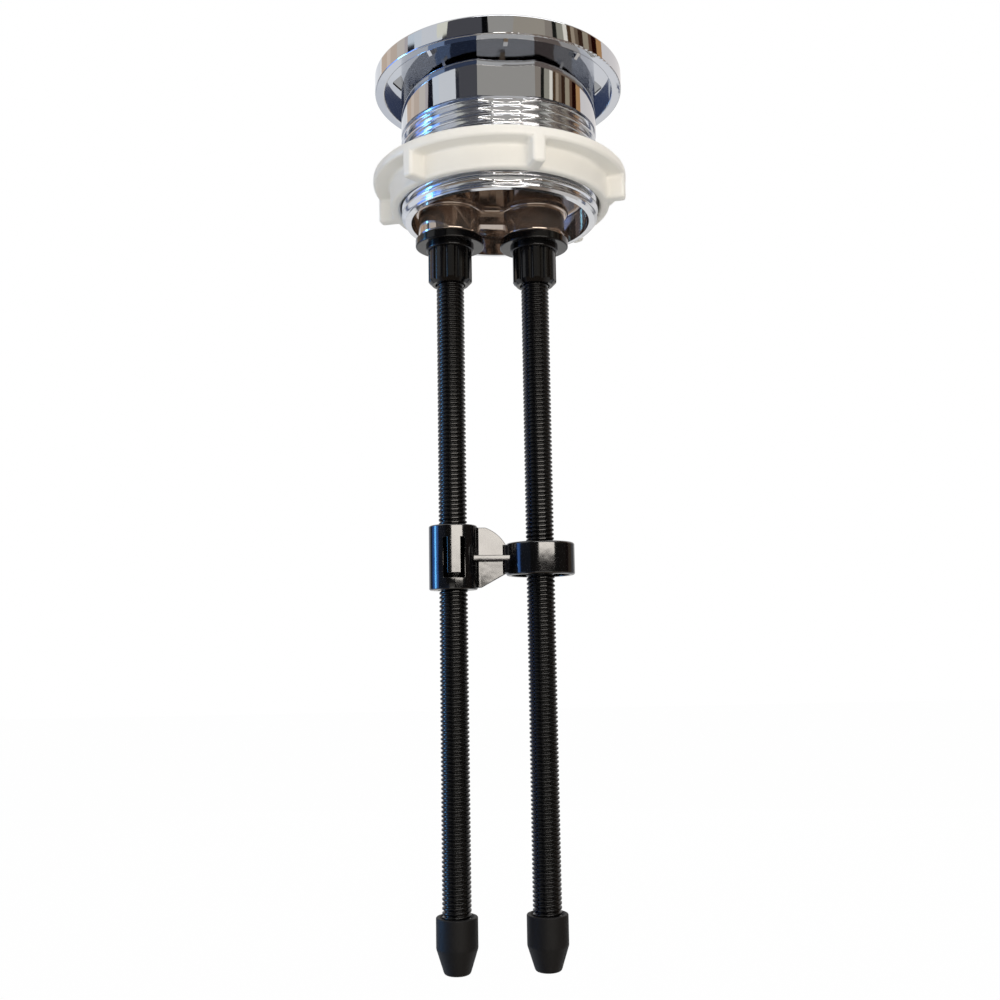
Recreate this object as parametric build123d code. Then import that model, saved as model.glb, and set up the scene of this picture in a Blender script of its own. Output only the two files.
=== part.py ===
from build123d import *
import os

# Dual flush push button for a cistern lid, sizes in millimetres.
# The origin is on the barrel's axis, in the plane where the flange lip seats on the lid.
# +Z points up to the buttons, the push rods hang along -Z and stand side by side along X.

# Flange: a shallow chromed dish with a turned-down lip
flange_overhang = 6.35
flange_band = 4.55
lip_width = 2.3
recess_depth = 3.4
bezel_rise = 1.25
bezel_land = 2.4
flange_round = 0.5
lip_round = 0.35
corner_rib_count = 8
corner_rib_run = 2.0
corner_rib_drop = 1.85
corner_rib_width = 1.0

# Barrel: the threaded sleeve that passes through the lid
barrel_radius = 23.65
barrel_wall = 2.25
barrel_drop = 32.25
flat_cut = 0.92
rim_chamfer = 0.7
land_drop = 10.76
thread_pitch = 2.05
thread_depth = 1.25
thread_crest = 0.25
thread_root_gap = 0.4
thread_relief = 0.3
thread_lead = 0.45
thread_over = 0.1
floor_depth = 25.0
floor_thickness = 2.0
floor_fillet = 0.8

# Guide tubes under the floor, one for each plunger
rod_spacing = 20.3
collar_gap = 0.8
tube_wall = 0.85
tube_drop = 36.2
tube_round = 0.7
collar_overhang = 0.95
collar_depth = 28.6
collar_thickness = 1.75
collar_neck = 6.4
collar_fillet = 1.8
collar_round = 0.6
web_thickness = 2.8
web_drop = 32.8
rib_width = 1.7
rib_length = 7.0

# Buttons: two caps that share a round well, each with a hollow plunger
cap_proud = 0.8
cap_thickness = 1.8
cap_skirt = 9.0
cap_skirt_wall = 1.0
cap_gap = 0.4
cap_round = 0.7
split_gap = 0.6
plunger_radius = 6.3
plunger_wall = 1.7
plunger_clearance = 0.3

# Return springs round the plungers
spring_wire = 0.8
spring_turns = 6
spring_clearance = 0.3
spring_seat_gap = 0.05
spring_skirt_gap = 0.5

# Rod sockets: round stops that close the plungers, with ribbed grips below
stop_radius = 8.2
stop_thickness = 1.75
stop_gap = 0.3
stop_round = 0.3
spigot_length = 7.0
spigot_clearance = 0.04
shoulder_radius = 5.75
shoulder_height = 1.0
shoulder_round = 0.4
grip_radius = 5.2
grip_length = 8.35
grip_chamfer = 0.9
grip_rib_count = 12
grip_groove_depth = 0.35
grip_groove_radius = 0.75

# Push rods and their rubber feet
rod_radius = 3.3
rod_clearance = 0.3
rod_top = 31.0
rod_chamfer = 0.5
foot_bottom = 205.15
foot_length = 12.3
foot_radius = 4.7
foot_nose_length = 5.6
foot_nose_radius = 2.9
foot_nose_round = 0.8
foot_shoulder_round = 1.6
foot_edge_round = 0.3
foot_grip = 0.02
foot_mouth = 0.6
foot_socket_depth = 6.6

# Back nut that clamps the lid from below
nut_top = 20.9
nut_height = 8.1
nut_overhang = 0.45
nut_ring_height = 2.55
nut_wall = 2.4
nut_clearance = 0.35
nut_lug_count = 6
nut_lug_width = 3.1
nut_lug_turn = 12.3
nut_round = 0.45

# Spacer clip: a sleeve on one rod, with an eye round the other
clip_top = 105.4
clip_height = 14.9
clip_radius = 5.6
clip_edge_round = 0.35
clip_window_width = 4.9
clip_window_height = 9.2
clip_window_drop = 3.0
clip_tongue_width = 3.1
clip_tongue_gap = 1.0
clip_tongue_wall = 1.5
eye_radius = 8.0
eye_wall = 1.25
eye_height = 7.5
eye_drop = 4.2
eye_round = 0.5
neck_reach = 0.75
neck_width = 5.0
gusset_thickness = 1.9
gusset_top_run = 1.9
gusset_inset = 0.5
gusset_low_run = 0.9
gusset_arc = 9.0
gusset_root_round = 0.8
brace_thickness = 1.25
brace_width = 6.5
brace_rise = 0.25

# Places that follow from the sizes above
flange_radius = barrel_radius + flange_overhang
flat_offset = barrel_radius - flat_cut
well_radius = barrel_radius - barrel_wall
thread_root = barrel_radius - thread_depth
bezel_top = flange_band + bezel_rise
cap_top = bezel_top + cap_proud
cap_underside = cap_top - cap_thickness
floor_top = -floor_depth + floor_thickness
tube_bore = plunger_radius + plunger_clearance
tube_radius = tube_bore + tube_wall
half_x = collar_gap + collar_overhang + tube_radius - well_radius
full_x = half_x + rod_spacing
spring_radius = plunger_radius + spring_clearance + spring_wire
split_x = half_x + spring_radius + spring_skirt_gap + cap_skirt_wall + split_gap / 2
nut_bore = barrel_radius + nut_clearance
nut_wall_radius = nut_bore + nut_wall
nut_ring_radius = flange_radius + nut_overhang
socket_top = -tube_drop - stop_gap
stop_bottom = socket_top - stop_thickness
shoulder_bottom = stop_bottom - shoulder_height
grip_bottom = shoulder_bottom - grip_length
plunger_bore = plunger_radius - plunger_wall
rod_bore = rod_radius + rod_clearance
foot_top = -foot_bottom + foot_length
foot_floor = foot_top - foot_socket_depth


def tall_cylinder(x, radius, bottom, top):
    """A cylinder on a vertical axis at x, between two heights."""
    return Pos(x, 0, (bottom + top) / 2) * Cylinder(radius, top - bottom)


def block(width, depth, bottom, top, x=0.0, y=0.0):
    """A box centred on x and y, between two heights."""
    return Pos(x, y, (bottom + top) / 2) * Box(width, depth, top - bottom)


def turned(points):
    """A solid of revolution about Z from points of radius and height."""
    outline = make_face(Polyline(*[(r, 0, z) for r, z in points], close=True))
    return revolve(outline, Axis.Z, 360)


def ring_edges(solid, radius, height, tolerance=1e-3):
    """The circular edges of one radius at one height."""
    return [
        edge
        for edge in solid.edges().filter_by(GeomType.CIRCLE)
        if abs(edge.radius - radius) < tolerance and abs(edge.arc_center.Z - height) < tolerance
    ]


def make_housing():
    """Flange, barrel, floor and guide tubes, moulded as one piece."""
    lip_inner = flange_radius - lip_width
    shell = turned([
        (well_radius, bezel_top), (well_radius + bezel_land, bezel_top), (flange_radius, flange_band),
        (flange_radius, 0), (lip_inner, 0), (lip_inner, recess_depth), (barrel_radius, recess_depth),
        (barrel_radius, -barrel_drop), (well_radius, -barrel_drop), (well_radius, -floor_depth),
        (0, -floor_depth), (0, floor_top), (well_radius, floor_top),
    ])
    shell = fillet(ring_edges(shell, flange_radius, flange_band), flange_round)
    shell = fillet(ring_edges(shell, flange_radius, 0) + ring_edges(shell, lip_inner, 0), lip_round)
    shell = fillet(ring_edges(shell, well_radius, bezel_top), lip_round)
    shell = fillet(ring_edges(shell, well_radius, -floor_depth), floor_fillet)
    shell = chamfer(ring_edges(shell, barrel_radius, -barrel_drop), rim_chamfer)
    shell -= thread_groove()
    shell -= turned([
        (thread_root, -land_drop), (flange_radius, -land_drop), (flange_radius, -land_drop - thread_relief),
        (thread_root, -land_drop - thread_relief),
    ])
    flat_depth = flange_radius - flat_offset
    for side in (-1, 1):
        flat_y = side * (flat_offset + flat_depth / 2)
        shell -= block(2 * flange_radius, flat_depth, -2 * barrel_drop, 0, y=flat_y)
        shell -= block(2 * barrel_radius, 2 * (barrel_radius - flat_offset), 0, recess_depth,
                       y=side * barrel_radius) - tall_annulus(barrel_radius, flange_radius)
    for index in range(corner_rib_count):
        shell += Rot(0, 0, 360 * index / corner_rib_count) * corner_rib()
    return shell + make_guides() - guide_bores()


def corner_rib():
    """A small rib in the corner between the barrel and the flange."""
    root = (well_radius + flat_offset) / 2
    low, high = recess_depth - corner_rib_drop, (recess_depth + flange_band) / 2
    tip = barrel_radius + corner_rib_run
    outline = [(root, high), (tip, high), (tip, recess_depth), (barrel_radius, low), (root, low)]
    section = make_face(Polyline(*[(r, 0, z) for r, z in outline], close=True))
    return extrude(section, corner_rib_width / 2, both=True)


def thread_groove():
    """The helical groove that leaves a screw thread on the barrel."""
    turns = int((barrel_drop - land_drop) / thread_pitch) + 1
    start = -land_drop - thread_lead - (turns + 0.5) * thread_pitch
    slope = (thread_pitch - thread_root_gap - thread_crest) / 2 / thread_depth
    mouth = thread_pitch / 2 - thread_crest / 2 + thread_over * slope
    outer = barrel_radius + thread_over
    outline = [(thread_root, -thread_root_gap / 2), (outer, -mouth), (outer, mouth),
               (thread_root, thread_root_gap / 2)]
    section = make_face(Polyline(*[(r, 0, start + z) for r, z in outline], close=True))
    path = Pos(0, 0, start) * Helix(thread_pitch, turns * thread_pitch, thread_root)
    return sweep(section, path, is_frenet=True)


def tall_annulus(inner, outer):
    """The part of the recess outside the barrel, which the flats leave as it is."""
    ring = tall_cylinder(0, 2 * outer, 0, recess_depth)
    return ring - tall_cylinder(0, inner, 0, recess_depth)


def make_guides():
    """Two tubes hung from the floor, tied by a web and a waisted collar."""
    middle = (half_x + full_x) / 2
    tubes = [tall_cylinder(x, tube_radius, -tube_drop, floor_top) for x in (half_x, full_x)]
    tubes = [fillet(ring_edges(tube, tube_radius, -tube_drop), tube_round) for tube in tubes]
    outline = Pos(middle, 0) * Rectangle(rod_spacing, collar_neck)
    for x in (half_x, full_x):
        outline += Pos(x, 0) * Circle(tube_radius + collar_overhang)
    neck = [v for v in outline.vertices() if abs(v.X - middle) < tube_radius]
    outline = fillet(neck, collar_fillet)
    collar = Pos(0, 0, -collar_depth - collar_thickness) * extrude(outline, collar_thickness)
    collar = fillet(collar.edges().filter_by(Plane.XY), collar_round)
    web = block(rod_spacing, web_thickness, -web_drop, -floor_depth, x=middle)
    rib = block(rib_width, rib_length, -collar_depth, -floor_depth, x=middle)
    return tubes[0] + tubes[1] + collar + web + rib


def guide_bores():
    """The two bores in which the plungers slide."""
    return [tall_cylinder(x, tube_bore, -2 * tube_drop, 0) for x in (half_x, full_x)]


def make_button(x, side):
    """A cap that fills its share of the well, with a hollow plunger under it."""
    cap_radius = well_radius - cap_gap
    edge_x = split_x + side * split_gap / 2
    keep = block(4 * cap_radius, 4 * cap_radius, -2 * cap_skirt, 2 * cap_top, x=edge_x + side * 2 * cap_radius)
    outer = tall_cylinder(0, cap_radius, cap_top - cap_skirt, cap_top) & keep
    outer = fillet(outer.faces().sort_by(Axis.Z)[-1].edges(), cap_round)
    hollow_keep = Pos(side * cap_skirt_wall, 0, 0) * keep
    hollow = tall_cylinder(0, cap_radius - cap_skirt_wall, cap_top - 2 * cap_skirt, cap_underside) & hollow_keep
    plunger = tall_cylinder(x, plunger_radius, socket_top, cap_underside)
    plunger -= tall_cylinder(x, plunger_bore, socket_top, cap_underside)
    return outer - hollow + plunger


def make_spring(x):
    """A coil spring between the floor and the underside of a cap."""
    coil_radius = spring_radius - spring_wire / 2
    rest = spring_wire / 2 + spring_seat_gap
    height = cap_underside - floor_top - 2 * rest
    path = Helix(height / spring_turns, height, coil_radius)
    wire = Plane(path @ 0, z_dir=path % 0) * Circle(spring_wire / 2)
    return Pos(x, 0, floor_top + rest) * sweep(wire, path, is_frenet=True)


def make_socket(x):
    """A round stop with a spigot above it, and a ribbed grip below it."""
    stop = tall_cylinder(x, stop_radius, stop_bottom, socket_top)
    stop = fillet(ring_edges(stop, stop_radius, stop_bottom), stop_round)
    shoulder = tall_cylinder(x, shoulder_radius, shoulder_bottom, stop_bottom)
    shoulder = fillet(ring_edges(shoulder, shoulder_radius, shoulder_bottom), shoulder_round)
    grip = tall_cylinder(x, grip_radius, grip_bottom, shoulder_bottom)
    grip = chamfer(ring_edges(grip, grip_radius, grip_bottom), grip_chamfer)
    groove_x = grip_radius - grip_groove_depth + grip_groove_radius
    groove = tall_cylinder(groove_x, grip_groove_radius, grip_bottom - grip_length, shoulder_bottom)
    for index in range(grip_rib_count):
        turn = 360 * (index + 0.5) / grip_rib_count
        grip -= Pos(x, 0, 0) * Rot(0, 0, turn) * groove
    spigot = tall_cylinder(x, plunger_bore - spigot_clearance, socket_top, socket_top + spigot_length)
    solid = stop + shoulder + grip + spigot
    return solid - tall_cylinder(x, rod_bore, 2 * grip_bottom, 0)


def make_rod(x):
    """A plain rod on the thread's outer diameter, chamfered at both ends."""
    rod = tall_cylinder(x, rod_radius, foot_floor, -rod_top)
    return chamfer(rod.edges().filter_by(GeomType.CIRCLE), rod_chamfer)


def make_foot(x):
    """A rubber foot with a blind socket and a tapered nose."""
    nose_top = -foot_bottom + foot_nose_length
    foot = turned([
        (0, -foot_bottom), (foot_nose_radius, -foot_bottom), (foot_radius, nose_top),
        (foot_radius, foot_top), (0, foot_top),
    ])
    foot = fillet(ring_edges(foot, foot_radius, nose_top), foot_shoulder_round)
    foot = fillet(ring_edges(foot, foot_nose_radius, -foot_bottom), foot_nose_round)
    foot = fillet(ring_edges(foot, foot_radius, foot_top), foot_edge_round)
    foot -= tall_cylinder(0, rod_radius + foot_grip, foot_floor, foot_top)
    foot = chamfer(ring_edges(foot, rod_radius + foot_grip, foot_top), foot_mouth)
    return Pos(x, 0, 0) * foot


def make_back_nut():
    """A shouldered nut with radial lugs to turn it by hand."""
    ring_bottom = -nut_top - nut_ring_height
    bottom = -nut_top - nut_height
    nut = turned([
        (nut_bore, -nut_top), (nut_ring_radius, -nut_top), (nut_ring_radius, ring_bottom),
        (nut_wall_radius, ring_bottom), (nut_wall_radius, bottom), (nut_bore, bottom),
    ])
    nut = fillet(ring_edges(nut, nut_wall_radius, ring_bottom), nut_round)
    nut = fillet(ring_edges(nut, nut_ring_radius, -nut_top), nut_round)
    lug_reach = nut_ring_radius - nut_wall_radius + nut_round
    lug = block(nut_lug_width, lug_reach, bottom, ring_bottom + nut_round, y=-nut_ring_radius + lug_reach / 2)
    lug &= tall_cylinder(0, nut_ring_radius, 2 * bottom, 0)
    for index in range(nut_lug_count):
        nut += Rot(0, 0, nut_lug_turn + 360 * index / nut_lug_count) * lug
    return nut


def make_clip():
    """Sleeve, gusset, brace and eye, with a spring tongue in the sleeve's window."""
    top, bottom = -clip_top, -clip_top - clip_height
    eye_top = top - eye_drop
    eye_bottom = eye_top - eye_height
    eye_bore = eye_radius - eye_wall
    sleeve = tall_cylinder(half_x, clip_radius, bottom, top)
    sleeve = fillet(sleeve.edges().filter_by(GeomType.CIRCLE), clip_edge_round)
    eye = tall_cylinder(full_x, eye_radius, eye_bottom, eye_top)
    eye = fillet(eye.edges().filter_by(GeomType.CIRCLE), eye_round)
    end_x = full_x - eye_radius
    end_low, end_high = eye_bottom + eye_round, eye_top - eye_round
    high, low = top - gusset_inset, bottom + gusset_inset
    high_x, low_x = half_x + clip_radius + gusset_top_run, half_x + clip_radius + gusset_low_run
    straight = Polyline((end_x, end_high), (end_x, end_low), (low_x, low), (half_x, low), (half_x, high),
                        (high_x, high))
    outline = Plane.XZ * make_face(straight + RadiusArc((high_x, high), (end_x, end_high), gusset_arc))
    gusset = extrude(outline, gusset_thickness / 2, both=True)
    body = sleeve + gusset
    roots = [edge for edge in body.edges().filter_by(Axis.Z) if abs(edge.center().X - half_x) < clip_radius]
    body = fillet(roots, gusset_root_round)
    neck = block(neck_reach + eye_wall, neck_width, end_low, end_high, x=end_x + (eye_wall - neck_reach) / 2)
    middle = (eye_top + eye_bottom) / 2 + brace_rise
    brace = block(rod_spacing, brace_width, middle - brace_thickness / 2, middle + brace_thickness / 2,
                  x=(half_x + full_x) / 2)
    brace -= tall_cylinder(full_x, eye_bore, bottom, top)
    clip = body + neck + brace + eye
    clip -= tall_cylinder(half_x, rod_bore, 2 * bottom, 0)
    clip -= tall_cylinder(full_x, eye_bore, 2 * bottom, 0)
    return clip - clip_slot(top)


def clip_slot(top):
    """The window round three sides of the tongue, and the relief behind it."""
    window_top = top - clip_window_drop
    window_low = window_top - clip_window_height
    window = block(clip_window_width, 2 * clip_radius, window_low, window_top, x=half_x, y=-clip_radius)
    tongue = block(clip_tongue_width, 2 * clip_radius, window_low + clip_tongue_gap, window_top,
                   x=half_x, y=-clip_radius)
    relief = tall_cylinder(half_x, clip_radius - clip_tongue_wall, window_low, window_top)
    return window - (tongue - relief)


pieces = {
    "housing": make_housing(),
    "back_nut": make_back_nut(),
    "half_button": make_button(half_x, -1),
    "full_button": make_button(full_x, 1),
    "half_spring": make_spring(half_x),
    "full_spring": make_spring(full_x),
    "half_socket": make_socket(half_x),
    "full_socket": make_socket(full_x),
    "half_rod": make_rod(half_x),
    "full_rod": make_rod(full_x),
    "half_foot": make_foot(half_x),
    "full_foot": make_foot(full_x),
    "spacer_clip": make_clip(),
}

os.makedirs("parts", exist_ok=True)
for name, piece in pieces.items():
    export_step(piece, f"parts/{name}.step")
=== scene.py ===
"""Dresses a dual flush push button for its studio picture.

The chromed housing and the push rods get their screw threads here, the back nut and the
spacer clip their soft edges, and every piece its finish. Sizes are in millimetres and angles
in degrees unless a name or a docstring says otherwise.
"""

import logging
import math
from contextlib import contextmanager
from dataclasses import dataclass
from enum import Enum
from typing import Any, Callable, Iterator, Optional, Sequence

import bpy
from mathutils import Matrix, Vector


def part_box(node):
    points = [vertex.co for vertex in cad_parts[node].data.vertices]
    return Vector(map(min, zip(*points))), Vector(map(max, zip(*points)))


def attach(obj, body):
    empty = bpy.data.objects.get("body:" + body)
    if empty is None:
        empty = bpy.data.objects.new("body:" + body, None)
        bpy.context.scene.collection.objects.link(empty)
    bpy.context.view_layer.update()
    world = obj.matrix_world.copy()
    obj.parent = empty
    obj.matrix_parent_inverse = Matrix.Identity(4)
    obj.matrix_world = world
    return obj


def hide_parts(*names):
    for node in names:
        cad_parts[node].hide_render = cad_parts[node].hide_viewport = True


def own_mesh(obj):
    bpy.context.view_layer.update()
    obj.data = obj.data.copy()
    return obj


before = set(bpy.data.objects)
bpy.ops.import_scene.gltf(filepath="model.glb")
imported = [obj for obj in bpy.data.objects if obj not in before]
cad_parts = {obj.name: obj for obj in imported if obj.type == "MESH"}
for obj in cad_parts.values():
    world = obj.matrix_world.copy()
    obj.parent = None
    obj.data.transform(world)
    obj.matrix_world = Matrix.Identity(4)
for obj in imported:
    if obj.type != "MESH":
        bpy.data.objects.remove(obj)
log = logging.getLogger("push_button")

MM = 0.001
# Metres within which doubles merge, and within which a cut's slivers close up
WELD = 1e-7
SLIVER = 2e-6
# How far a point may be from the surface that it is looked for on
NEAR = 0.01
# Edges that turn by more than this get a soft edge
EDGE_TURN = 35.0

Colour = tuple[float, float, float, float]
PlaceTest = Callable[[Vector], bool]
TurnedRule = Callable[[float, float, float], tuple[float, float]]


class Part(Enum):
    """The kind of element that a selection picks, as Blender's select mode."""

    VERTS = (True, False, False)
    EDGES = (False, True, False)
    FACES = (False, False, True)


# Bench work: selecting, editing and finishing one mesh at a time


def only(obj: bpy.types.Object) -> None:
    """Makes one object the only one that is selected, and the active one."""
    bpy.ops.object.select_all(action="DESELECT")
    obj.select_set(True)
    bpy.context.view_layer.objects.active = obj


@contextmanager
def editing(obj: bpy.types.Object, part: Part = Part.VERTS) -> Iterator[None]:
    """Opens one object in edit mode, and closes it again.

    Args:
        obj: The mesh object to edit.
        part: The select mode to edit in.
    """
    only(obj)
    bpy.context.tool_settings.mesh_select_mode = part.value
    bpy.ops.object.mode_set(mode="EDIT")
    try:
        yield
    finally:
        bpy.ops.object.mode_set(mode="OBJECT")


def pick(obj: bpy.types.Object, part: Part, test: PlaceTest) -> None:
    """Selects the elements whose points all pass a test of their place.

    Args:
        obj: The mesh object, in object mode.
        part: What to select.
        test: Takes a point in metres and says whether it counts.
    """
    mesh = obj.data
    layers = {Part.VERTS: mesh.vertices, Part.EDGES: mesh.edges, Part.FACES: mesh.polygons}
    for items in layers.values():
        items.foreach_set("select", [False] * len(items))
    flags = [bool(test(vertex.co)) for vertex in mesh.vertices]
    if part is not Part.VERTS:
        flags = [all(flags[i] for i in item.vertices) for item in layers[part]]
    layers[part].foreach_set("select", flags)


def pick_rims(obj: bpy.types.Object, test: PlaceTest) -> None:
    """Selects the open edges whose two points pass a test of their place.

    Args:
        obj: The mesh object, in object mode.
        test: Takes a point in metres and says whether it counts.
    """
    mesh = obj.data
    uses: dict[tuple[int, int], int] = {}
    for face in mesh.polygons:
        for key in face.edge_keys:
            uses[key] = uses.get(key, 0) + 1
    pick(obj, Part.EDGES, lambda point: False)
    flags = [
        uses.get(edge.key, 0) == 1 and all(test(mesh.vertices[i].co) for i in edge.vertices)
        for edge in mesh.edges
    ]
    mesh.edges.foreach_set("select", flags)


def weld(obj: bpy.types.Object, distance: float = WELD) -> None:
    """Merges the doubles of a mesh and turns its faces outwards.

    Args:
        obj: The mesh object.
        distance: Metres within which points merge.
    """
    with editing(obj):
        bpy.ops.mesh.select_all(action="SELECT")
        bpy.ops.mesh.remove_doubles(threshold=distance)
        bpy.ops.mesh.normals_make_consistent(inside=False)


def modify(obj: bpy.types.Object, kind: str, **settings: Any) -> None:
    """Adds a modifier with its settings and applies it.

    Args:
        obj: The mesh object.
        kind: The modifier's type name.
        **settings: Attributes of the modifier.
    """
    only(obj)
    modifier = obj.modifiers.new(kind.lower(), kind)
    for key, value in settings.items():
        setattr(modifier, key, value)
    bpy.ops.object.modifier_apply(modifier=modifier.name)


def shade(obj: bpy.types.Object, crease: float = 40.0) -> None:
    """Shades a mesh smooth up to a crease angle, with large faces kept flat.

    Args:
        obj: The mesh object.
        crease: Edges sharper than this many degrees stay sharp.
    """
    only(obj)
    bpy.ops.object.shade_smooth_by_angle(angle=math.radians(crease), keep_sharp_edges=True)
    modify(obj, "WEIGHTED_NORMAL", mode="FACE_AREA", weight=50, keep_sharp=True)


def reshape(obj: bpy.types.Object, rule: TurnedRule) -> None:
    """Moves each point of a turned mesh to a new radius and height.

    Args:
        obj: The mesh object, turned about Z.
        rule: Takes radius, angle in radians and height, and gives the new radius and height.
    """
    for vertex in obj.data.vertices:
        x, y, z = vertex.co
        angle = math.atan2(y, x)
        radius, height = rule(math.hypot(x, y) / MM, angle, z / MM)
        vertex.co = (radius * MM * math.cos(angle), radius * MM * math.sin(angle), height * MM)


def recast(node: str, name: str) -> bpy.types.Object:
    """Copies a CAD node as a welded mesh of its own.

    Args:
        node: The CAD node.
        name: The new piece's name.

    Returns:
        The copy, with no material.
    """
    copy = bpy.data.objects.new(name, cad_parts[node].data.copy())
    copy.data.name = name
    copy.data.materials.clear()
    bpy.context.scene.collection.objects.link(copy)
    only(copy)
    bpy.ops.mesh.customdata_custom_splitnormals_clear()
    weld(copy)
    return copy


def turned(name: str, section: Sequence[tuple[float, float]], sides: int) -> bpy.types.Object:
    """Turns a closed section on the lathe, from ring to ring.

    Args:
        name: The piece's name.
        section: Radius and height of each ring, in order round the section.
        sides: Points in a ring.

    Returns:
        A closed ring-shaped mesh.
    """
    first_radius, first_height = section[0]
    bpy.ops.object.select_all(action="DESELECT")
    bpy.ops.mesh.primitive_circle_add(vertices=sides, radius=first_radius * MM, fill_type="NOTHING")
    obj = bpy.context.active_object
    obj.name = obj.data.name = name
    with editing(obj):
        bpy.ops.mesh.select_all(action="SELECT")
        bpy.ops.transform.translate(value=(0, 0, first_height * MM))
        for (radius, height), (next_radius, next_height) in zip(section, section[1:]):
            step = {"value": (0, 0, (next_height - height) * MM)}
            bpy.ops.mesh.extrude_region_move(TRANSFORM_OT_translate=step)
            grow = next_radius / radius
            bpy.ops.transform.resize(value=(grow, grow, 1), center_override=(0, 0, 0))
    pick_rims(obj, lambda point: True)
    with editing(obj, Part.EDGES):
        bpy.ops.mesh.bridge_edge_loops()
    weld(obj)
    return obj


def soft_min(a: float, b: float, blend: float) -> float:
    """The smaller of two lengths, with the corner between them rounded.

    Args:
        a: The first length.
        b: The second length.
        blend: Difference of the two below which they blend.

    Returns:
        The smaller length, or a little less where the two are close.
    """
    share = min(1.0, max(0.0, 0.5 + 0.5 * (b - a) / blend))
    return b + (a - b) * share - blend * share * (1 - share)


def smooth_step(value: float) -> float:
    """Eases a value from 0 to 1."""
    value = min(1.0, max(0.0, value))
    return value * value * (3 - 2 * value)


# Finishes


def linear(hex_colour: str) -> Colour:
    """Turns an sRGB hex colour to linear RGBA."""
    parts = [int(hex_colour[i : i + 2], 16) / 255 for i in (1, 3, 5)]
    red, green, blue = (c / 12.92 if c <= 0.04045 else ((c + 0.055) / 1.055) ** 2.4 for c in parts)
    return red, green, blue, 1.0


def add_node(
    tree: bpy.types.NodeTree,
    kind: str,
    inputs: Optional[dict[Any, Any]] = None,
    links: Optional[dict[Any, bpy.types.NodeSocket]] = None,
    **settings: Any,
) -> bpy.types.Node:
    """Adds one node with its settings, values and links.

    Args:
        tree: The node tree to add to.
        kind: The node's type name.
        inputs: Values by input socket.
        links: Output sockets to link, by input socket.
        **settings: Attributes of the node itself.

    Returns:
        The new node.
    """
    node = tree.nodes.new(kind)
    for key, value in settings.items():
        setattr(node, key, value)
    for key, value in (inputs or {}).items():
        node.inputs[key].default_value = value
    for key, source in (links or {}).items():
        tree.links.new(source, node.inputs[key])
    return node


def per_mm(size: float) -> float:
    """The scale of a pattern whose features are this many millimetres apart."""
    return 1.0 / (size * MM)


@dataclass(frozen=True)
class Finish:
    """A surface: its colour, its gloss and the small waves that break its reflections."""

    name: str
    colour: str
    shade_colour: str
    metallic: float
    roughness_low: float
    roughness_high: float
    patch_mm: float
    wave_mm: float
    wave_height_mm: float
    grain_mm: float
    grain_height_mm: float
    specular: float = 0.5

    def material(self) -> bpy.types.Material:
        """Gives the finish's material, made once."""
        known = bpy.data.materials.get(self.name)
        return known or self._mixed()

    def _mixed(self) -> bpy.types.Material:
        """Builds the node tree: patches of tone and gloss, long waves and fine grain."""
        material = bpy.data.materials.new(self.name)
        material.use_nodes = True
        tree = material.node_tree
        tree.nodes.clear()
        place = add_node(tree, "ShaderNodeTexCoord").outputs["Object"]
        patches = add_node(
            tree, "ShaderNodeTexNoise",
            {"Scale": per_mm(self.patch_mm), "Detail": 3.0, "Roughness": 0.55}, {"Vector": place},
        ).outputs["Fac"]
        tone = add_node(
            tree, "ShaderNodeMix",
            {"A": linear(self.colour), "B": linear(self.shade_colour)},
            {"Factor": patches}, data_type="RGBA",
        )
        gloss = add_node(
            tree, "ShaderNodeMapRange",
            {"To Min": self.roughness_low, "To Max": self.roughness_high}, {"Value": patches},
        ).outputs["Result"]
        waves = add_node(
            tree, "ShaderNodeTexNoise",
            {"Scale": per_mm(self.wave_mm), "Detail": 1.0}, {"Vector": place},
        ).outputs["Fac"]
        grain = add_node(
            tree, "ShaderNodeTexNoise",
            {"Scale": per_mm(self.grain_mm), "Detail": 2.0}, {"Vector": place},
        ).outputs["Fac"]
        long_bump = add_node(
            tree, "ShaderNodeBump", {"Distance": self.wave_height_mm * MM}, {"Height": waves},
        ).outputs["Normal"]
        bump = add_node(
            tree, "ShaderNodeBump", {"Distance": self.grain_height_mm * MM},
            {"Height": grain, "Normal": long_bump},
        ).outputs["Normal"]
        surface = add_node(
            tree, "ShaderNodeBsdfPrincipled",
            {"Metallic": self.metallic, "Specular IOR Level": self.specular},
            {"Base Color": tone.outputs["Result"], "Roughness": gloss, "Normal": bump},
        )
        add_node(tree, "ShaderNodeOutputMaterial", None, {"Surface": surface.outputs["BSDF"]})
        return material


# Chromium over copper and nickel on moulded ABS: a bright mirror with slow waves
POLISHED_CHROME = Finish(
    "polished_chrome_plate", "#CDCED1", "#C8CACE", 1.0, 0.025, 0.06,
    patch_mm=9.0, wave_mm=7.0, wave_height_mm=0.012, grain_mm=0.8, grain_height_mm=0.0004,
)
# The same plating over a moulded thread: the flanks are left duller
SATIN_CHROME = Finish(
    "satin_chrome_thread", "#DBDCDF", "#D0D2D7", 0.95, 0.07, 0.14,
    patch_mm=3.0, wave_mm=1.6, wave_height_mm=0.01, grain_mm=0.25, grain_height_mm=0.002,
)
# Chrome inside the barrel, made a darker, browner mirror: painted shade of the hollow and a painted
# brown reflection
SHADED_WELL_CHROME = Finish(
    "painted_shade_chrome_in_barrel", "#C0B2A6", "#AEA095", 0.9, 0.04, 0.08,
    patch_mm=6.0, wave_mm=4.0, wave_height_mm=0.015, grain_mm=0.4, grain_height_mm=0.0002,
)
# Polypropylene from the mould: a warm white with a soft sheen
CREAM_PLASTIC = Finish(
    "cream_polypropylene", "#EFEDE7", "#EAE7DF", 0.0, 0.36, 0.5,
    patch_mm=8.0, wave_mm=5.0, wave_height_mm=0.02, grain_mm=0.35, grain_height_mm=0.003,
)
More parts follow.
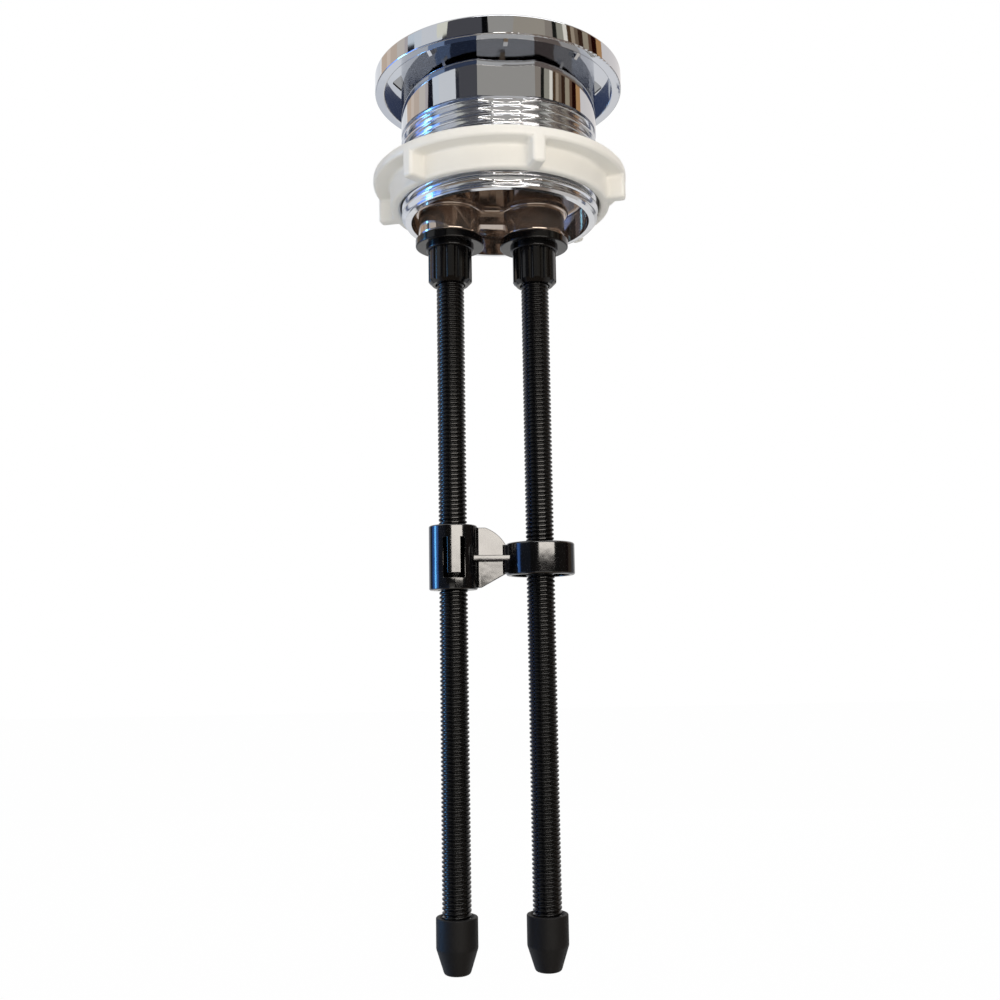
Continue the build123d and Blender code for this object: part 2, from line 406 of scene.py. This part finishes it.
# Black acetal of the clip: glossy from the mould, with faint patches
BLACK_ACETAL = Finish(
    "black_acetal", "#060607", "#0A0A0B", 0.0, 0.06, 0.2,
    patch_mm=4.0, wave_mm=2.5, wave_height_mm=0.02, grain_mm=0.3, grain_height_mm=0.0015,
    specular=1.0,
)
# Black acetal of the rods: threaded in the mould, and duller than the clip
THREADED_ACETAL = Finish(
    "black_acetal_thread", "#050506", "#090909", 0.0, 0.1, 0.2,
    patch_mm=2.0, wave_mm=1.5, wave_height_mm=0.006, grain_mm=0.25, grain_height_mm=0.0008,
    specular=0.36,
)
# Black nylon of the rod stops: deep black, and less of a mirror than the clip
BLACK_NYLON = Finish(
    "black_nylon_stop", "#050506", "#080809", 0.0, 0.08, 0.2,
    patch_mm=4.0, wave_mm=2.5, wave_height_mm=0.02, grain_mm=0.3, grain_height_mm=0.0015,
    specular=0.34,
)
# Moulded rubber: matt, with a fine tooth
BLACK_RUBBER = Finish(
    "black_moulded_rubber", "#0C0B0B", "#121111", 0.0, 0.48, 0.62,
    patch_mm=3.0, wave_mm=2.0, wave_height_mm=0.015, grain_mm=0.22, grain_height_mm=0.008,
    specular=0.25,
)
# Drawn spring wire: grey steel with a soft shine
SPRING_STEEL = Finish(
    "drawn_spring_steel", "#A9ABAE", "#8F9194", 1.0, 0.22, 0.34,
    patch_mm=2.0, wave_mm=1.0, wave_height_mm=0.003, grain_mm=0.2, grain_height_mm=0.001,
)


def dress(obj: bpy.types.Object, *finishes: Finish) -> None:
    """Gives a mesh its finishes, one to a material slot."""
    obj.data.materials.clear()
    for finish in finishes:
        obj.data.materials.append(finish.material())


# Screw threads


@dataclass(frozen=True)
class ScrewThread:
    """A thread's section, and the helical skin that is turned from it.

    The crest and root shares are parts of the pitch. A softness of 0 gives straight flanks, 1
    fully rounded ones. The skin has this many points to a pitch and steps to a turn.
    """

    crest_radius: float
    root_radius: float
    pitch: float
    crest_share: float
    root_share: float
    softness: float
    points: int
    steps: int

    def radius_at(self, share: float) -> float:
        """The radius at a share of the pitch, with the crest at the middle."""
        reach = 0.5 - self.root_share / 2
        flank = reach - self.crest_share / 2
        rise = min(1.0, max(0.0, (reach - abs(share - 0.5)) / flank))
        rise += (smooth_step(rise) - rise) * self.softness
        return self.root_radius + (self.crest_radius - self.root_radius) * rise

    def skin(self, name: str, top: float, bottom: float) -> bpy.types.Object:
        """Turns the thread past a top and a bottom height, open at both ends.

        Args:
            name: The new mesh's name.
            top: Height that the skin passes at its upper end.
            bottom: Height that the skin passes at its lower end.

        Returns:
            The helical skin about the Z axis.
        """
        bpy.ops.object.select_all(action="DESELECT")
        bpy.ops.mesh.primitive_plane_add(size=self.pitch * MM)
        obj = bpy.context.active_object
        obj.name = obj.data.name = name
        drop = self.pitch / self.points
        radii = [self.radius_at(i / self.points) for i in range(self.points + 1)]
        with editing(obj):
            bpy.ops.mesh.select_all(action="SELECT")
            bpy.ops.mesh.merge(type="CENTER")
            bpy.ops.transform.translate(value=(radii[0] * MM, 0, top * MM))
            for radius, following in zip(radii, radii[1:]):
                step = {"value": ((following - radius) * MM, 0, -drop * MM)}
                bpy.ops.mesh.extrude_vertices_move(TRANSFORM_OT_translate=step)
        turns = math.ceil((top - bottom) / self.pitch) + 1
        modify(
            obj, "ARRAY", count=turns, use_relative_offset=False, use_constant_offset=True,
            constant_offset_displace=(0, 0, -self.pitch * MM), use_merge_vertices=True,
            merge_threshold=WELD,
        )
        modify(
            obj, "SCREW", angle=math.tau, screw_offset=self.pitch * MM, steps=self.steps,
            render_steps=self.steps, use_smooth_shade=True,
        )
        weld(obj)
        return obj


# Sub-assemblies


@dataclass
class Housing:
    """The chromed body: flange, polished land, screw thread, rim and guide tubes."""

    node: str = "housing"
    body: str = "frame"
    well_radius: float = 21.4
    wall_core: float = 0.3
    flat_offset: float = 22.73
    flat_sector: float = 0.5
    land_end: float = -10.76
    rim: float = -32.25
    rim_radius: float = 22.75
    relief: float = 0.3
    run_in: float = 0.5
    edge_blend: float = 0.2
    lead: float = 0.45
    turns_above: float = 1.5
    thread: ScrewThread = ScrewThread(
        crest_radius=23.65, root_radius=22.4, pitch=2.05, crest_share=0.12, root_share=0.2,
        softness=0.35, points=14, steps=360,
    )

    def build(self) -> bpy.types.Object:
        """Makes the housing, with a smooth helical thread in place of the CAD one."""
        slack = 0.05
        casting = self._bare_casting()
        skin = self._thread_skin()
        dress(casting, POLISHED_CHROME, SHADED_WELL_CHROME)
        dress(skin, SATIN_CHROME)
        # Faces below the land, inside the barrel, take the darker, browner chrome: painted shade of
        # the hollow and a painted brown reflection
        for face in casting.data.polygons:
            face.material_index = int(face.center.z / MM < self.land_end)
        bpy.ops.object.select_all(action="DESELECT")
        skin.select_set(True)
        casting.select_set(True)
        bpy.context.view_layer.objects.active = casting
        bpy.ops.object.join()
        for height in (self.land_end, self.rim):
            pick_rims(casting, lambda point: abs(point.z / MM - height) < slack)
            with editing(casting, Part.EDGES):
                bpy.ops.mesh.bridge_edge_loops()
        weld(casting)
        self._crease_flats(casting)
        shade(casting)
        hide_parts(self.node)
        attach(casting, self.body)
        return casting

    def _bare_casting(self) -> bpy.types.Object:
        """The body from the flange to the guides, without the barrel's outer skin."""
        casting = recast(self.node, "chromed_housing")
        pick(casting, Part.FACES, self._is_outer_skin)
        for face in casting.data.polygons:
            centre = face.center / MM
            at_rim = self.rim - NEAR < centre.z < self.rim + NEAR
            outside = math.hypot(centre.x, centre.y) > self.well_radius + NEAR
            face.select = outside and (face.select or at_rim)
        with editing(casting, Part.FACES):
            bpy.ops.mesh.delete(type="FACE")
        return casting

    def _is_outer_skin(self, point: Vector) -> bool:
        """Whether a point lies on the barrel's outer skin, below the land."""
        height = point.z / MM
        outside = math.hypot(point.x, point.y) / MM > self.well_radius + self.wall_core
        return outside and self.rim - NEAR < height < self.land_end + NEAR

    def _thread_skin(self) -> bpy.types.Object:
        """The threaded skin between the land and the rim, with its two flats."""
        pitch = self.thread.pitch
        top = self.land_end - self.lead + self.turns_above * pitch
        skin = self.thread.skin("barrel_thread", top, self.rim - pitch)
        reshape(skin, self._thread_rule)
        with editing(skin, Part.FACES):
            bpy.ops.mesh.select_all(action="SELECT")
            bpy.ops.mesh.bisect(
                plane_co=(0, 0, self.rim * MM), plane_no=(0, 0, 1), clear_inner=True,
                threshold=WELD,
            )
        weld(skin, SLIVER)
        return skin

    def _thread_rule(
        self, radius: float, angle: float, height: float
    ) -> tuple[float, float]:
        """Runs the thread in below the land, and cuts it by the flats and the rim.

        Args:
            radius: The full thread's radius.
            angle: Angle about the axis, in radians.
            height: Height of the point.

        Returns:
            The new radius and height.
        """
        root = self.thread.root_radius
        fade = smooth_step((self.land_end - self.relief - height) / self.run_in)
        radius = root + (radius - root) * fade
        facing = abs(math.sin(angle))
        if facing > self.flat_sector:
            radius = soft_min(radius, self.flat_offset / facing, self.edge_blend)
        height = min(self.land_end, height)
        chamfer = self.rim_radius + (height - self.rim)
        return soft_min(radius, chamfer, self.edge_blend), height

    def _crease_flats(self, casting: bpy.types.Object) -> None:
        """Marks the upright edges of the two flats on the land as sharp."""
        half = math.sqrt(self.thread.crest_radius**2 - self.flat_offset**2)
        slack_across, slack_out, slack_down = 0.15, 0.03, 0.05

        def on_corner(point: Vector) -> bool:
            """Whether a point lies on a corner of a flat."""
            across = abs(abs(point.x) / MM - half) < slack_across
            out = abs(abs(point.y) / MM - self.flat_offset) < slack_out
            return across and out and point.z / MM > self.land_end - slack_down

        pick(casting, Part.EDGES, on_corner)
        with editing(casting, Part.EDGES):
            bpy.ops.mesh.mark_sharp()


@dataclass
class BackNut:
    """The cream nut: a shouldered ring with six lugs, soft at every edge.

    The lug turn is measured from the front. A lug takes up some columns of the turned wall.
    """

    node: str = "back_nut"
    body: str = "nut"
    bore: float = 24.0
    wall_radius: float = 26.4
    ring_radius: float = 30.45
    top: float = -20.9
    ring_bottom: float = -23.45
    bottom: float = -29.0
    lugs: int = 6
    lug_columns: int = 3
    lug_turn: float = 12.3
    lug_half_width: float = 1.55
    sides: int = 180
    soft_edge: float = 0.85

    def build(self) -> bpy.types.Object:
        """Makes the nut: a turned ring, lugs drawn out of its wall, and rounded edges."""
        nut = turned(
            "back_nut_moulding",
            [
                (self.bore, self.top), (self.ring_radius, self.top),
                (self.ring_radius, self.ring_bottom), (self.wall_radius, self.ring_bottom),
                (self.wall_radius, self.bottom), (self.bore, self.bottom),
            ],
            self.sides,
        )
        column = math.tau / self.sides
        middle = column / 2
        half_turn = self.lug_columns / 2 * column
        for index in range(self.lugs):
            self._draw_lug(nut, middle + index * math.tau / self.lugs, half_turn)
        weld(nut)
        turn = math.radians(self.lug_turn - 90) - middle
        nut.data.transform(Matrix.Rotation(turn, 4, "Z"))
        modify(
            nut, "BEVEL", width=self.soft_edge * MM, segments=3, limit_method="ANGLE",
            angle_limit=math.radians(EDGE_TURN), use_clamp_overlap=True,
        )
        with editing(nut):
            bpy.ops.mesh.select_all(action="SELECT")
            bpy.ops.mesh.dissolve_degenerate(threshold=SLIVER)
        weld(nut, SLIVER)
        dress(nut, CREAM_PLASTIC)
        shade(nut, 50)
        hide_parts(self.node)
        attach(nut, self.body)
        return nut

    def _draw_lug(self, nut: bpy.types.Object, middle: float, half_turn: float) -> None:
        """Draws one lug out of the wall, up to the ring's edge.

        Args:
            nut: The turned nut.
            middle: The lug's angle about the axis, in radians.
            half_turn: Half of the angle that the lug takes up on the wall.
        """
        slack = 1e-3
        outward = Vector((math.cos(middle), math.sin(middle), 0))
        across = Vector((-math.sin(middle), math.cos(middle), 0))

        def angle_of(point: Vector) -> float:
            """A point's angle from the middle of the lug, in radians."""
            return math.atan2(point.dot(across), point.dot(outward))

        def at(point: Vector, radius: float, height: float) -> bool:
            """Whether a point lies on one ring of the section, in the lug's columns."""
            off = abs(math.hypot(point.x, point.y) / MM - radius)
            on_ring = off < NEAR and abs(point.z / MM - height) < NEAR
            return on_ring and abs(angle_of(point)) < half_turn + slack

        def on_outer_edge(point: Vector) -> bool:
            """Whether a point lies on the lug's outer face, at its top or bottom."""
            heights = (self.ring_bottom, self.bottom)
            return any(at(point, self.ring_radius, height) for height in heights)

        def on_skin(point: Vector) -> bool:
            """Whether a point lies on the wall or on the ring's underside."""
            heights = (self.ring_bottom, self.bottom)
            on_wall = any(at(point, self.wall_radius, height) for height in heights)
            return on_wall or at(point, self.ring_radius, self.ring_bottom)

        pick(nut, Part.FACES, on_skin)
        with editing(nut, Part.FACES):
            bpy.ops.mesh.delete(type="ONLY_FACE")
        pick(nut, Part.EDGES, lambda point: at(point, self.wall_radius, self.bottom))
        grow = self.ring_radius / self.wall_radius
        with editing(nut, Part.EDGES):
            bpy.ops.mesh.extrude_region_move(TRANSFORM_OT_translate={"value": (0, 0, 0)})
            bpy.ops.transform.resize(value=(grow, grow, 1), center_override=(0, 0, 0))
        pick_rims(nut, on_outer_edge)
        with editing(nut, Part.EDGES):
            bpy.ops.mesh.bridge_edge_loops()
        for side in (-1, 1):

            def on_side(point: Vector) -> bool:
                """Whether a point lies on this side of the lug."""
                low = point.z / MM < self.ring_bottom + NEAR
                far = math.hypot(point.x, point.y) / MM > self.wall_radius - NEAR
                return low and far and abs(angle_of(point) - side * half_turn) < slack

            pick(nut, Part.VERTS, on_side)
            with editing(nut):
                bpy.ops.mesh.edge_face_add()
            aside = across * side * self.lug_half_width * MM
            for vertex in nut.data.vertices:
                if vertex.select:
                    reach = vertex.co.dot(outward)
                    vertex.co = outward * reach + aside + Vector((0, 0, vertex.co.z))


@dataclass
class PushRod:
    """A threaded rod that carries a flush from its socket down to its foot."""

    node: str
    body: str
    end_chamfer: float = 0.7
    thread: ScrewThread = ScrewThread(
        crest_radius=3.3, root_radius=2.95, pitch=1.0, crest_share=0.3, root_share=0.12,
        softness=0.8, points=12, steps=40,
    )

    def build(self) -> bpy.types.Object:
        """Makes the rod with its thread, chamfered and closed at both ends."""
        low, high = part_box(self.node)
        top, bottom = high.z / MM, low.z / MM
        pitch = self.thread.pitch
        rod = self.thread.skin(self.node + "_threaded", top + pitch, bottom - pitch)

        def rule(radius: float, angle: float, height: float) -> tuple[float, float]:
            """Cuts the thread at the rod's ends."""
            height = min(top, max(bottom, height))
            inset = min(top - height, height - bottom)
            return min(radius, self.thread.crest_radius - self.end_chamfer + inset), height

        reshape(rod, rule)
        weld(rod, SLIVER)
        pick_rims(rod, lambda point: True)
        with editing(rod, Part.EDGES):
            bpy.ops.mesh.fill_holes(sides=0)
        weld(rod)
        axis = Vector(((low.x + high.x) / 2, (low.y + high.y) / 2, 0))
        rod.data.transform(Matrix.Translation(axis))
        dress(rod, THREADED_ACETAL)
        shade(rod, 60)
        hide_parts(self.node)
        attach(rod, self.body)
        return rod


@dataclass
class SpacerClip:
    """The clip that keeps the two rods apart, with soft edges as they leave the mould."""

    node: str = "spacer_clip"
    body: str = "clip"
    sleeve_axis: float = -12.2
    sleeve_radius: float = 5.6
    eye_axis: float = 8.1
    eye_radius: float = 8.0
    neck_end: float = -0.65
    neck_half_width: float = 2.5
    neck_round: float = 1.0
    soft_edge: float = 0.15
    flat_turn: float = 0.05

    def build(self) -> bpy.types.Object:
        """Makes the clip from its CAD form, with a rounded neck and soft edges."""
        clip = recast(self.node, "spacer_clip_moulding")
        with editing(clip, Part.FACES):
            bpy.ops.mesh.select_all(action="SELECT")
            bpy.ops.mesh.dissolve_limited(angle_limit=math.radians(self.flat_turn))
        pick(clip, Part.EDGES, self._on_neck)
        with editing(clip, Part.EDGES):
            bpy.ops.mesh.bevel(offset=self.neck_round * MM, segments=5, clamp_overlap=True)
        modify(
            clip, "BEVEL", width=self.soft_edge * MM, segments=2, limit_method="ANGLE",
            angle_limit=math.radians(EDGE_TURN), use_clamp_overlap=False, loop_slide=False,
        )
        weld(clip)
        dress(clip, BLACK_ACETAL)
        shade(clip)
        self._true_rounds(clip)
        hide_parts(self.node)
        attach(clip, self.body)
        return clip

    def _true_rounds(self, clip: bpy.types.Object) -> None:
        """Takes the sleeve's and the eye's surface normals from the CAD form."""
        rounds = ((self.sleeve_axis, self.sleeve_radius), (self.eye_axis, self.eye_radius))

        def on_round(point: Vector) -> bool:
            """Whether a point lies on the sleeve's or the eye's outer skin."""
            return any(
                abs(math.hypot(point.x / MM - axis, point.y / MM) - radius) < NEAR
                for axis, radius in rounds
            )

        skin = clip.vertex_groups.new(name="round_skin")
        found = [vertex.index for vertex in clip.data.vertices if on_round(vertex.co)]
        skin.add(found, 1.0, "REPLACE")
        modify(
            clip, "DATA_TRANSFER", object=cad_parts[self.node], use_loop_data=True,
            data_types_loops={"CUSTOM_NORMAL"}, loop_mapping="POLYINTERP_NEAREST",
            vertex_group=skin.name,
        )

    def _on_neck(self, point: Vector) -> bool:
        """Whether a point lies on an upright corner of the neck."""
        slack = 0.02
        at_end = abs(point.x / MM - self.neck_end) < slack
        return at_end and abs(abs(point.y) / MM - self.neck_half_width) < slack


@dataclass
class ReturnSpring:
    """A coil spring under a button."""

    node: str
    joint: str
    body: str = "frame"
    travel: float = 6.0

    def build(self) -> bpy.types.Object:
        """Makes the spring from its CAD form, with a mesh of its own."""
        spring = recast(self.node, self.node + "_coil")
        dress(spring, SPRING_STEEL)
        shade(spring, 60)
        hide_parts(self.node)
        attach(spring, self.body)
        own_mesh(spring)
        return spring


# Studio


@dataclass(frozen=True)
class Panel:
    """One upright panel of the room that the chrome mirrors.

    It starts at an azimuth to the right of the camera's side and ends where the next one
    starts. A low colour is the panel's colour below the top of the room's posts.
    """

    start: float
    colour: str
    low_colour: Optional[str] = None


@dataclass(frozen=True)
class Softbox:
    """A soft lamp, aimed at the middle of the object.

    Distance and sizes are in metres. A lamp may be left out of the mirrors, or light nothing.
    """

    name: str
    azimuth: float
    elevation: float
    distance: float
    width: float
    height: float
    watts: float
    colour: str
    mirrored: bool = True
    lights: bool = True

    def hang(self, aim: Vector) -> None:
        """Hangs the lamp at its place, in metres, facing the aim."""
        lamp = bpy.data.lights.new(self.name, "AREA")
        lamp.shape = "RECTANGLE"
        lamp.size, lamp.size_y = self.width, self.height
        lamp.energy = self.watts
        lamp.color = linear(self.colour)[:3]
        obj = bpy.data.objects.new(self.name, lamp)
        obj.visible_glossy = self.mirrored
        obj.visible_diffuse = self.lights
        bpy.context.scene.collection.objects.link(obj)
        turn, rise = math.radians(self.azimuth), math.radians(self.elevation)
        level = Vector((math.sin(turn), -math.cos(turn), 0))
        away = level * math.cos(rise) + Vector((0, 0, math.sin(rise)))
        obj.location = aim + away * self.distance
        obj.rotation_euler = away.to_track_quat("Z", "Y").to_euler()


@dataclass
class Studio:
    """A pale floor, a white backdrop, soft lamps and a room for the chrome to mirror.

    Floor and aim are in metres. The room is a stack of rings of panels, and each pair of
    elevations is where one ring gives way to the one above it.
    """

    floor_height: float = -0.30
    floor_size: float = 6.0
    floor_glow: float = 0.99
    aim: Vector = Vector((0, 0, -0.09))
    ambient: float = 0.3
    ambient_colour: str = "#F7F8FA"
    ceiling_colour: str = "#E9E9EA"
    under_colour: str = "#80705F"
    lens: float = 41.29
    eye: tuple[float, float, float] = (-21.99, -265.35, -134.13)
    ahead: tuple[float, float, float] = (0.0778, 0.9885, 0.1296)
    rightward: tuple[float, float, float] = (0.9969, -0.0764, -0.0159)
    ceiling_from: tuple[float, float] = (46, 60)
    posts_end: tuple[float, float] = (28.3, 28.7)
    room_from: tuple[float, float] = (8, 14)
    furniture_from: tuple[float, float] = (-16, -10)
    table_from: tuple[float, float] = (-24, -23)
    table_edge_from: tuple[float, float] = (-27.6, -27.2)
    ground_from: tuple[float, float] = (-62, -48)
    room: tuple[Panel, ...] = (
        Panel(-180, "#F1F3F7"), Panel(-146, "#FFFFFF"), Panel(-141, "#DCC7B4"),
        Panel(-128, "#EAD9CA"), Panel(-121, "#DAC8B8"), Panel(-111, "#DED6CD"),
        Panel(-99, "#CBC3C3"), Panel(-95, "#E1ECF6", "#1B1D27"), Panel(-86, "#E6EEF6"),
        Panel(-78, "#ECEFF3"), Panel(-61, "#F8F7E6", "#EDF0F4"),
        Panel(-56, "#F8F7E6", "#30323C"), Panel(-51, "#55555A"), Panel(-19, "#0B0B0D"),
        Panel(-13, "#AEABA5"), Panel(9, "#AFA79A"), Panel(38, "#9A9187"), Panel(46, "#20211D"),
        Panel(50, "#A6A395"), Panel(57, "#FFFAEC"), Panel(61, "#54412F"), Panel(66, "#B2A28D"),
        Panel(70, "#7D6C5B"), Panel(74, "#3E2B20"), Panel(79, "#ADA28D"), Panel(87, "#6B5040"),
        Panel(91, "#240906"), Panel(98, "#C39769"), Panel(106, "#EFEAE8"),
    )
    furniture: tuple[Panel, ...] = (
        Panel(-180, "#D5D9DF"), Panel(-140, "#4A5568"), Panel(-108, "#8CBBF7"),
        Panel(-80, "#3B4252"), Panel(-40, "#262423"), Panel(60, "#3A322C"), Panel(88, "#2A1512"),
        Panel(100, "#77695C"), Panel(120, "#85868A"), Panel(140, "#D8D7D5"),
    )
    table: tuple[Panel, ...] = (
        Panel(-180, "#F0F3F8"), Panel(-125, "#A9BEDF"), Panel(-112, "#C4D9FF"),
        Panel(-60, "#4E5A74"), Panel(-28, "#A8A39C"), Panel(38, "#8F8178"), Panel(60, "#9C8672"),
        Panel(115, "#F2F1EF"),
    )
    table_edge: tuple[Panel, ...] = (
        Panel(-180, "#E4E8EF"), Panel(-166, "#4A5778"), Panel(-120, "#8FA8CF"),
        Panel(-70, "#4E5A74"), Panel(-28, "#EFEDE8"), Panel(38, "#8F8178"), Panel(75, "#B5B1AC"),
        Panel(112, "#4A5470"), Panel(166, "#F4F4F5"),
    )
    ground: tuple[Panel, ...] = (
        Panel(-180, "#F2F5FA"), Panel(-95, "#9DB4D8"), Panel(-70, "#4E5A74"),
        Panel(-28, "#EFEDE8"), Panel(38, "#8F8178"), Panel(75, "#D5D0CA"), Panel(110, "#F6F7FA"),
    )
    lamps: tuple[Softbox, ...] = (
        Softbox("front_softbox", 16, 5.9, 0.8, 0.78, 0.145, 3.15, "#FFF8EF"),
        Softbox("side_window", -95, 2, 0.8, 0.13, 0.6, 2.3, "#6BC6FF", lights=False),
        Softbox("window_glow", -97, 2, 0.85, 0.62, 0.6, 1.8, "#3484FF", lights=False),
        Softbox("left_fill", -66, -4, 0.9, 0.5, 0.5, 2.0, "#F1F6FF", mirrored=False),
        Softbox("back_fill", 170, 12, 0.9, 0.8, 0.8, 1.8, "#FFFFFF", mirrored=False),
        Softbox("top_light", 20, 58, 0.8, 0.9, 0.14, 2.0, "#FFFFFF"),
    )

    def build(self) -> None:
        """Sets the floor, the world, the lamps and the camera."""
        self._floor()
        self._world()
        for lamp in self.lamps:
            lamp.hang(self.aim)
        self._camera()
        bpy.context.scene.view_settings.view_transform = "Standard"

    def _floor(self) -> None:
        """Lays the pale floor, which the camera sees as part of the white backdrop."""
        bpy.ops.object.select_all(action="DESELECT")
        bpy.ops.mesh.primitive_plane_add(size=self.floor_size)
        floor = bpy.context.active_object
        floor.name = floor.data.name = "pale_floor"
        floor.data.transform(Matrix.Translation((0, 0, self.floor_height)))
        material = bpy.data.materials.new("matt_white_paper")
        material.use_nodes = True
        tree = material.node_tree
        tree.nodes.clear()
        paper = add_node(tree, "ShaderNodeBsdfDiffuse", {"Color": linear("#F4F4F2")})
        glow = add_node(tree, "ShaderNodeEmission", {"Color": linear("#FFFFFF"), "Strength": 1.0})
        seen = add_node(tree, "ShaderNodeLightPath").outputs["Is Camera Ray"]
        share = add_node(
            tree, "ShaderNodeMath", {1: self.floor_glow}, {0: seen}, operation="MULTIPLY",
        )
        mix = add_node(
            tree, "ShaderNodeMixShader", None,
            {0: share.outputs[0], 1: paper.outputs[0], 2: glow.outputs[0]},
        )
        add_node(tree, "ShaderNodeOutputMaterial", None, {"Surface": mix.outputs[0]})
        floor.data.materials.append(material)
        floor.visible_glossy = False

    def _ring(
        self,
        tree: bpy.types.NodeTree,
        turn: bpy.types.NodeSocket,
        panels: Sequence[Panel],
        low: bool = False,
    ) -> bpy.types.NodeSocket:
        """A ring of panels round the object.

        Args:
            tree: The world's node tree.
            turn: Socket that gives the azimuth as a share of a full turn.
            panels: The panels in order, from azimuth -180.
            low: Whether to take the panels' low colours.

        Returns:
            The socket that gives the colour.
        """
        ramp = add_node(tree, "ShaderNodeValToRGB", None, {"Fac": turn})
        ramp.color_ramp.interpolation = "CONSTANT"
        stops = ramp.color_ramp.elements
        while len(stops) > 1:
            stops.remove(stops[-1])
        for index, panel in enumerate(panels):
            share = (panel.start + 180) / 360
            stop = stops[0] if index == 0 else stops.new(share)
            stop.position = share
            stop.color = linear(panel.low_colour if low and panel.low_colour else panel.colour)
        return ramp.outputs["Color"]

    def _world(self) -> None:
        """White to the camera, a plain pale light on the object, and the room in its mirrors."""
        world = bpy.data.worlds.new("studio_room")
        bpy.context.scene.world = world
        world.use_nodes = True
        tree = world.node_tree
        tree.nodes.clear()
        direction = add_node(tree, "ShaderNodeTexCoord").outputs["Generated"]
        split = add_node(tree, "ShaderNodeSeparateXYZ", None, {0: direction}).outputs
        forward = add_node(
            tree, "ShaderNodeMath", {1: -1.0}, {0: split["Y"]}, operation="MULTIPLY",
        )
        azimuth = add_node(
            tree, "ShaderNodeMath", None, {0: split["X"], 1: forward.outputs[0]},
            operation="ARCTAN2",
        )
        turn = add_node(
            tree, "ShaderNodeMapRange", {"From Min": -math.pi, "From Max": math.pi},
            {"Value": azimuth.outputs[0]},
        ).outputs["Result"]

        def even(colour: str) -> bpy.types.NodeSocket:
            """One colour all round."""
            plain_colour = add_node(tree, "ShaderNodeRGB").outputs[0]
            plain_colour.default_value = linear(colour)
            return plain_colour

        def stacked(
            lower: bpy.types.NodeSocket, upper: bpy.types.NodeSocket, border: tuple[float, float]
        ) -> bpy.types.NodeSocket:
            """One colour below another, with the border between two elevations."""
            low, high = (math.sin(math.radians(elevation)) for elevation in border)
            share = add_node(
                tree, "ShaderNodeMapRange", {"From Min": low, "From Max": high},
                {"Value": split["Z"]},
            ).outputs["Result"]
            links = {"A": lower, "B": upper, "Factor": share}
            return add_node(tree, "ShaderNodeMix", None, links, data_type="RGBA").outputs["Result"]

        posts = self._ring(tree, turn, self.room, low=True)
        view = stacked(posts, self._ring(tree, turn, self.room), self.posts_end)
        view = stacked(self._ring(tree, turn, self.furniture), view, self.room_from)
        view = stacked(self._ring(tree, turn, self.table), view, self.furniture_from)
        view = stacked(self._ring(tree, turn, self.table_edge), view, self.table_from)
        view = stacked(self._ring(tree, turn, self.ground), view, self.table_edge_from)
        view = stacked(view, even(self.ceiling_colour), self.ceiling_from)
        view = stacked(even(self.under_colour), view, self.ground_from)
        mirrored = add_node(tree, "ShaderNodeBackground", None, {"Color": view})
        plain = add_node(
            tree, "ShaderNodeBackground",
            {"Color": linear(self.ambient_colour), "Strength": self.ambient},
        )
        white = add_node(
            tree, "ShaderNodeBackground", {"Color": linear("#FFFFFF"), "Strength": 1.0},
        )
        path = add_node(tree, "ShaderNodeLightPath").outputs
        lit = add_node(
            tree, "ShaderNodeMixShader", None,
            {0: path["Is Glossy Ray"], 1: plain.outputs[0], 2: mirrored.outputs[0]},
        )
        seen = add_node(
            tree, "ShaderNodeMixShader", None,
            {0: path["Is Camera Ray"], 1: lit.outputs[0], 2: white.outputs[0]},
        )
        add_node(tree, "ShaderNodeOutputWorld", None, {"Surface": seen.outputs[0]})

    def _camera(self) -> None:
        """Sets the camera below the flange, a little to the left, as the photograph has it."""
        lens = bpy.data.cameras.new("view_camera")
        lens.sensor_width, lens.lens = 36.0, self.lens
        lens.clip_start = 0.01
        camera = bpy.data.objects.new("view_camera", lens)
        bpy.context.scene.collection.objects.link(camera)
        ahead, right = Vector(self.ahead).normalized(), Vector(self.rightward)
        right = (right - ahead * right.dot(ahead)).normalized()
        upward = right.cross(ahead)
        turn = Matrix((right, upward, -ahead)).transposed().to_4x4()
        camera.matrix_world = Matrix.Translation(Vector(self.eye) * MM) @ turn
        bpy.context.scene.camera = camera


def main() -> None:
    """Builds the pieces in order, dresses the plain nodes and sets the studio."""
    logging.basicConfig(level=logging.INFO, format="%(name)s %(message)s")
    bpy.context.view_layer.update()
    makers = [
        Housing(), BackNut(),
        PushRod("half_rod", "half_push_rod"), PushRod("full_rod", "full_push_rod"),
        SpacerClip(),
        ReturnSpring("half_spring", "half_button_press"),
        ReturnSpring("full_spring", "full_button_press"),
    ]
    for maker in makers:
        piece = maker.build()
        log.info("%s has %d faces", piece.name, len(piece.data.polygons))
    plain = {
        POLISHED_CHROME: ("half_button", "full_button"),
        BLACK_NYLON: ("half_socket", "full_socket"),
        BLACK_RUBBER: ("half_foot", "full_foot"),
    }
    for finish, nodes in plain.items():
        for node in nodes:
            dress(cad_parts[node], finish)
            log.info("%s has the finish %s", node, finish.name)
    Studio().build()


if __name__ == "__main__":
    main()
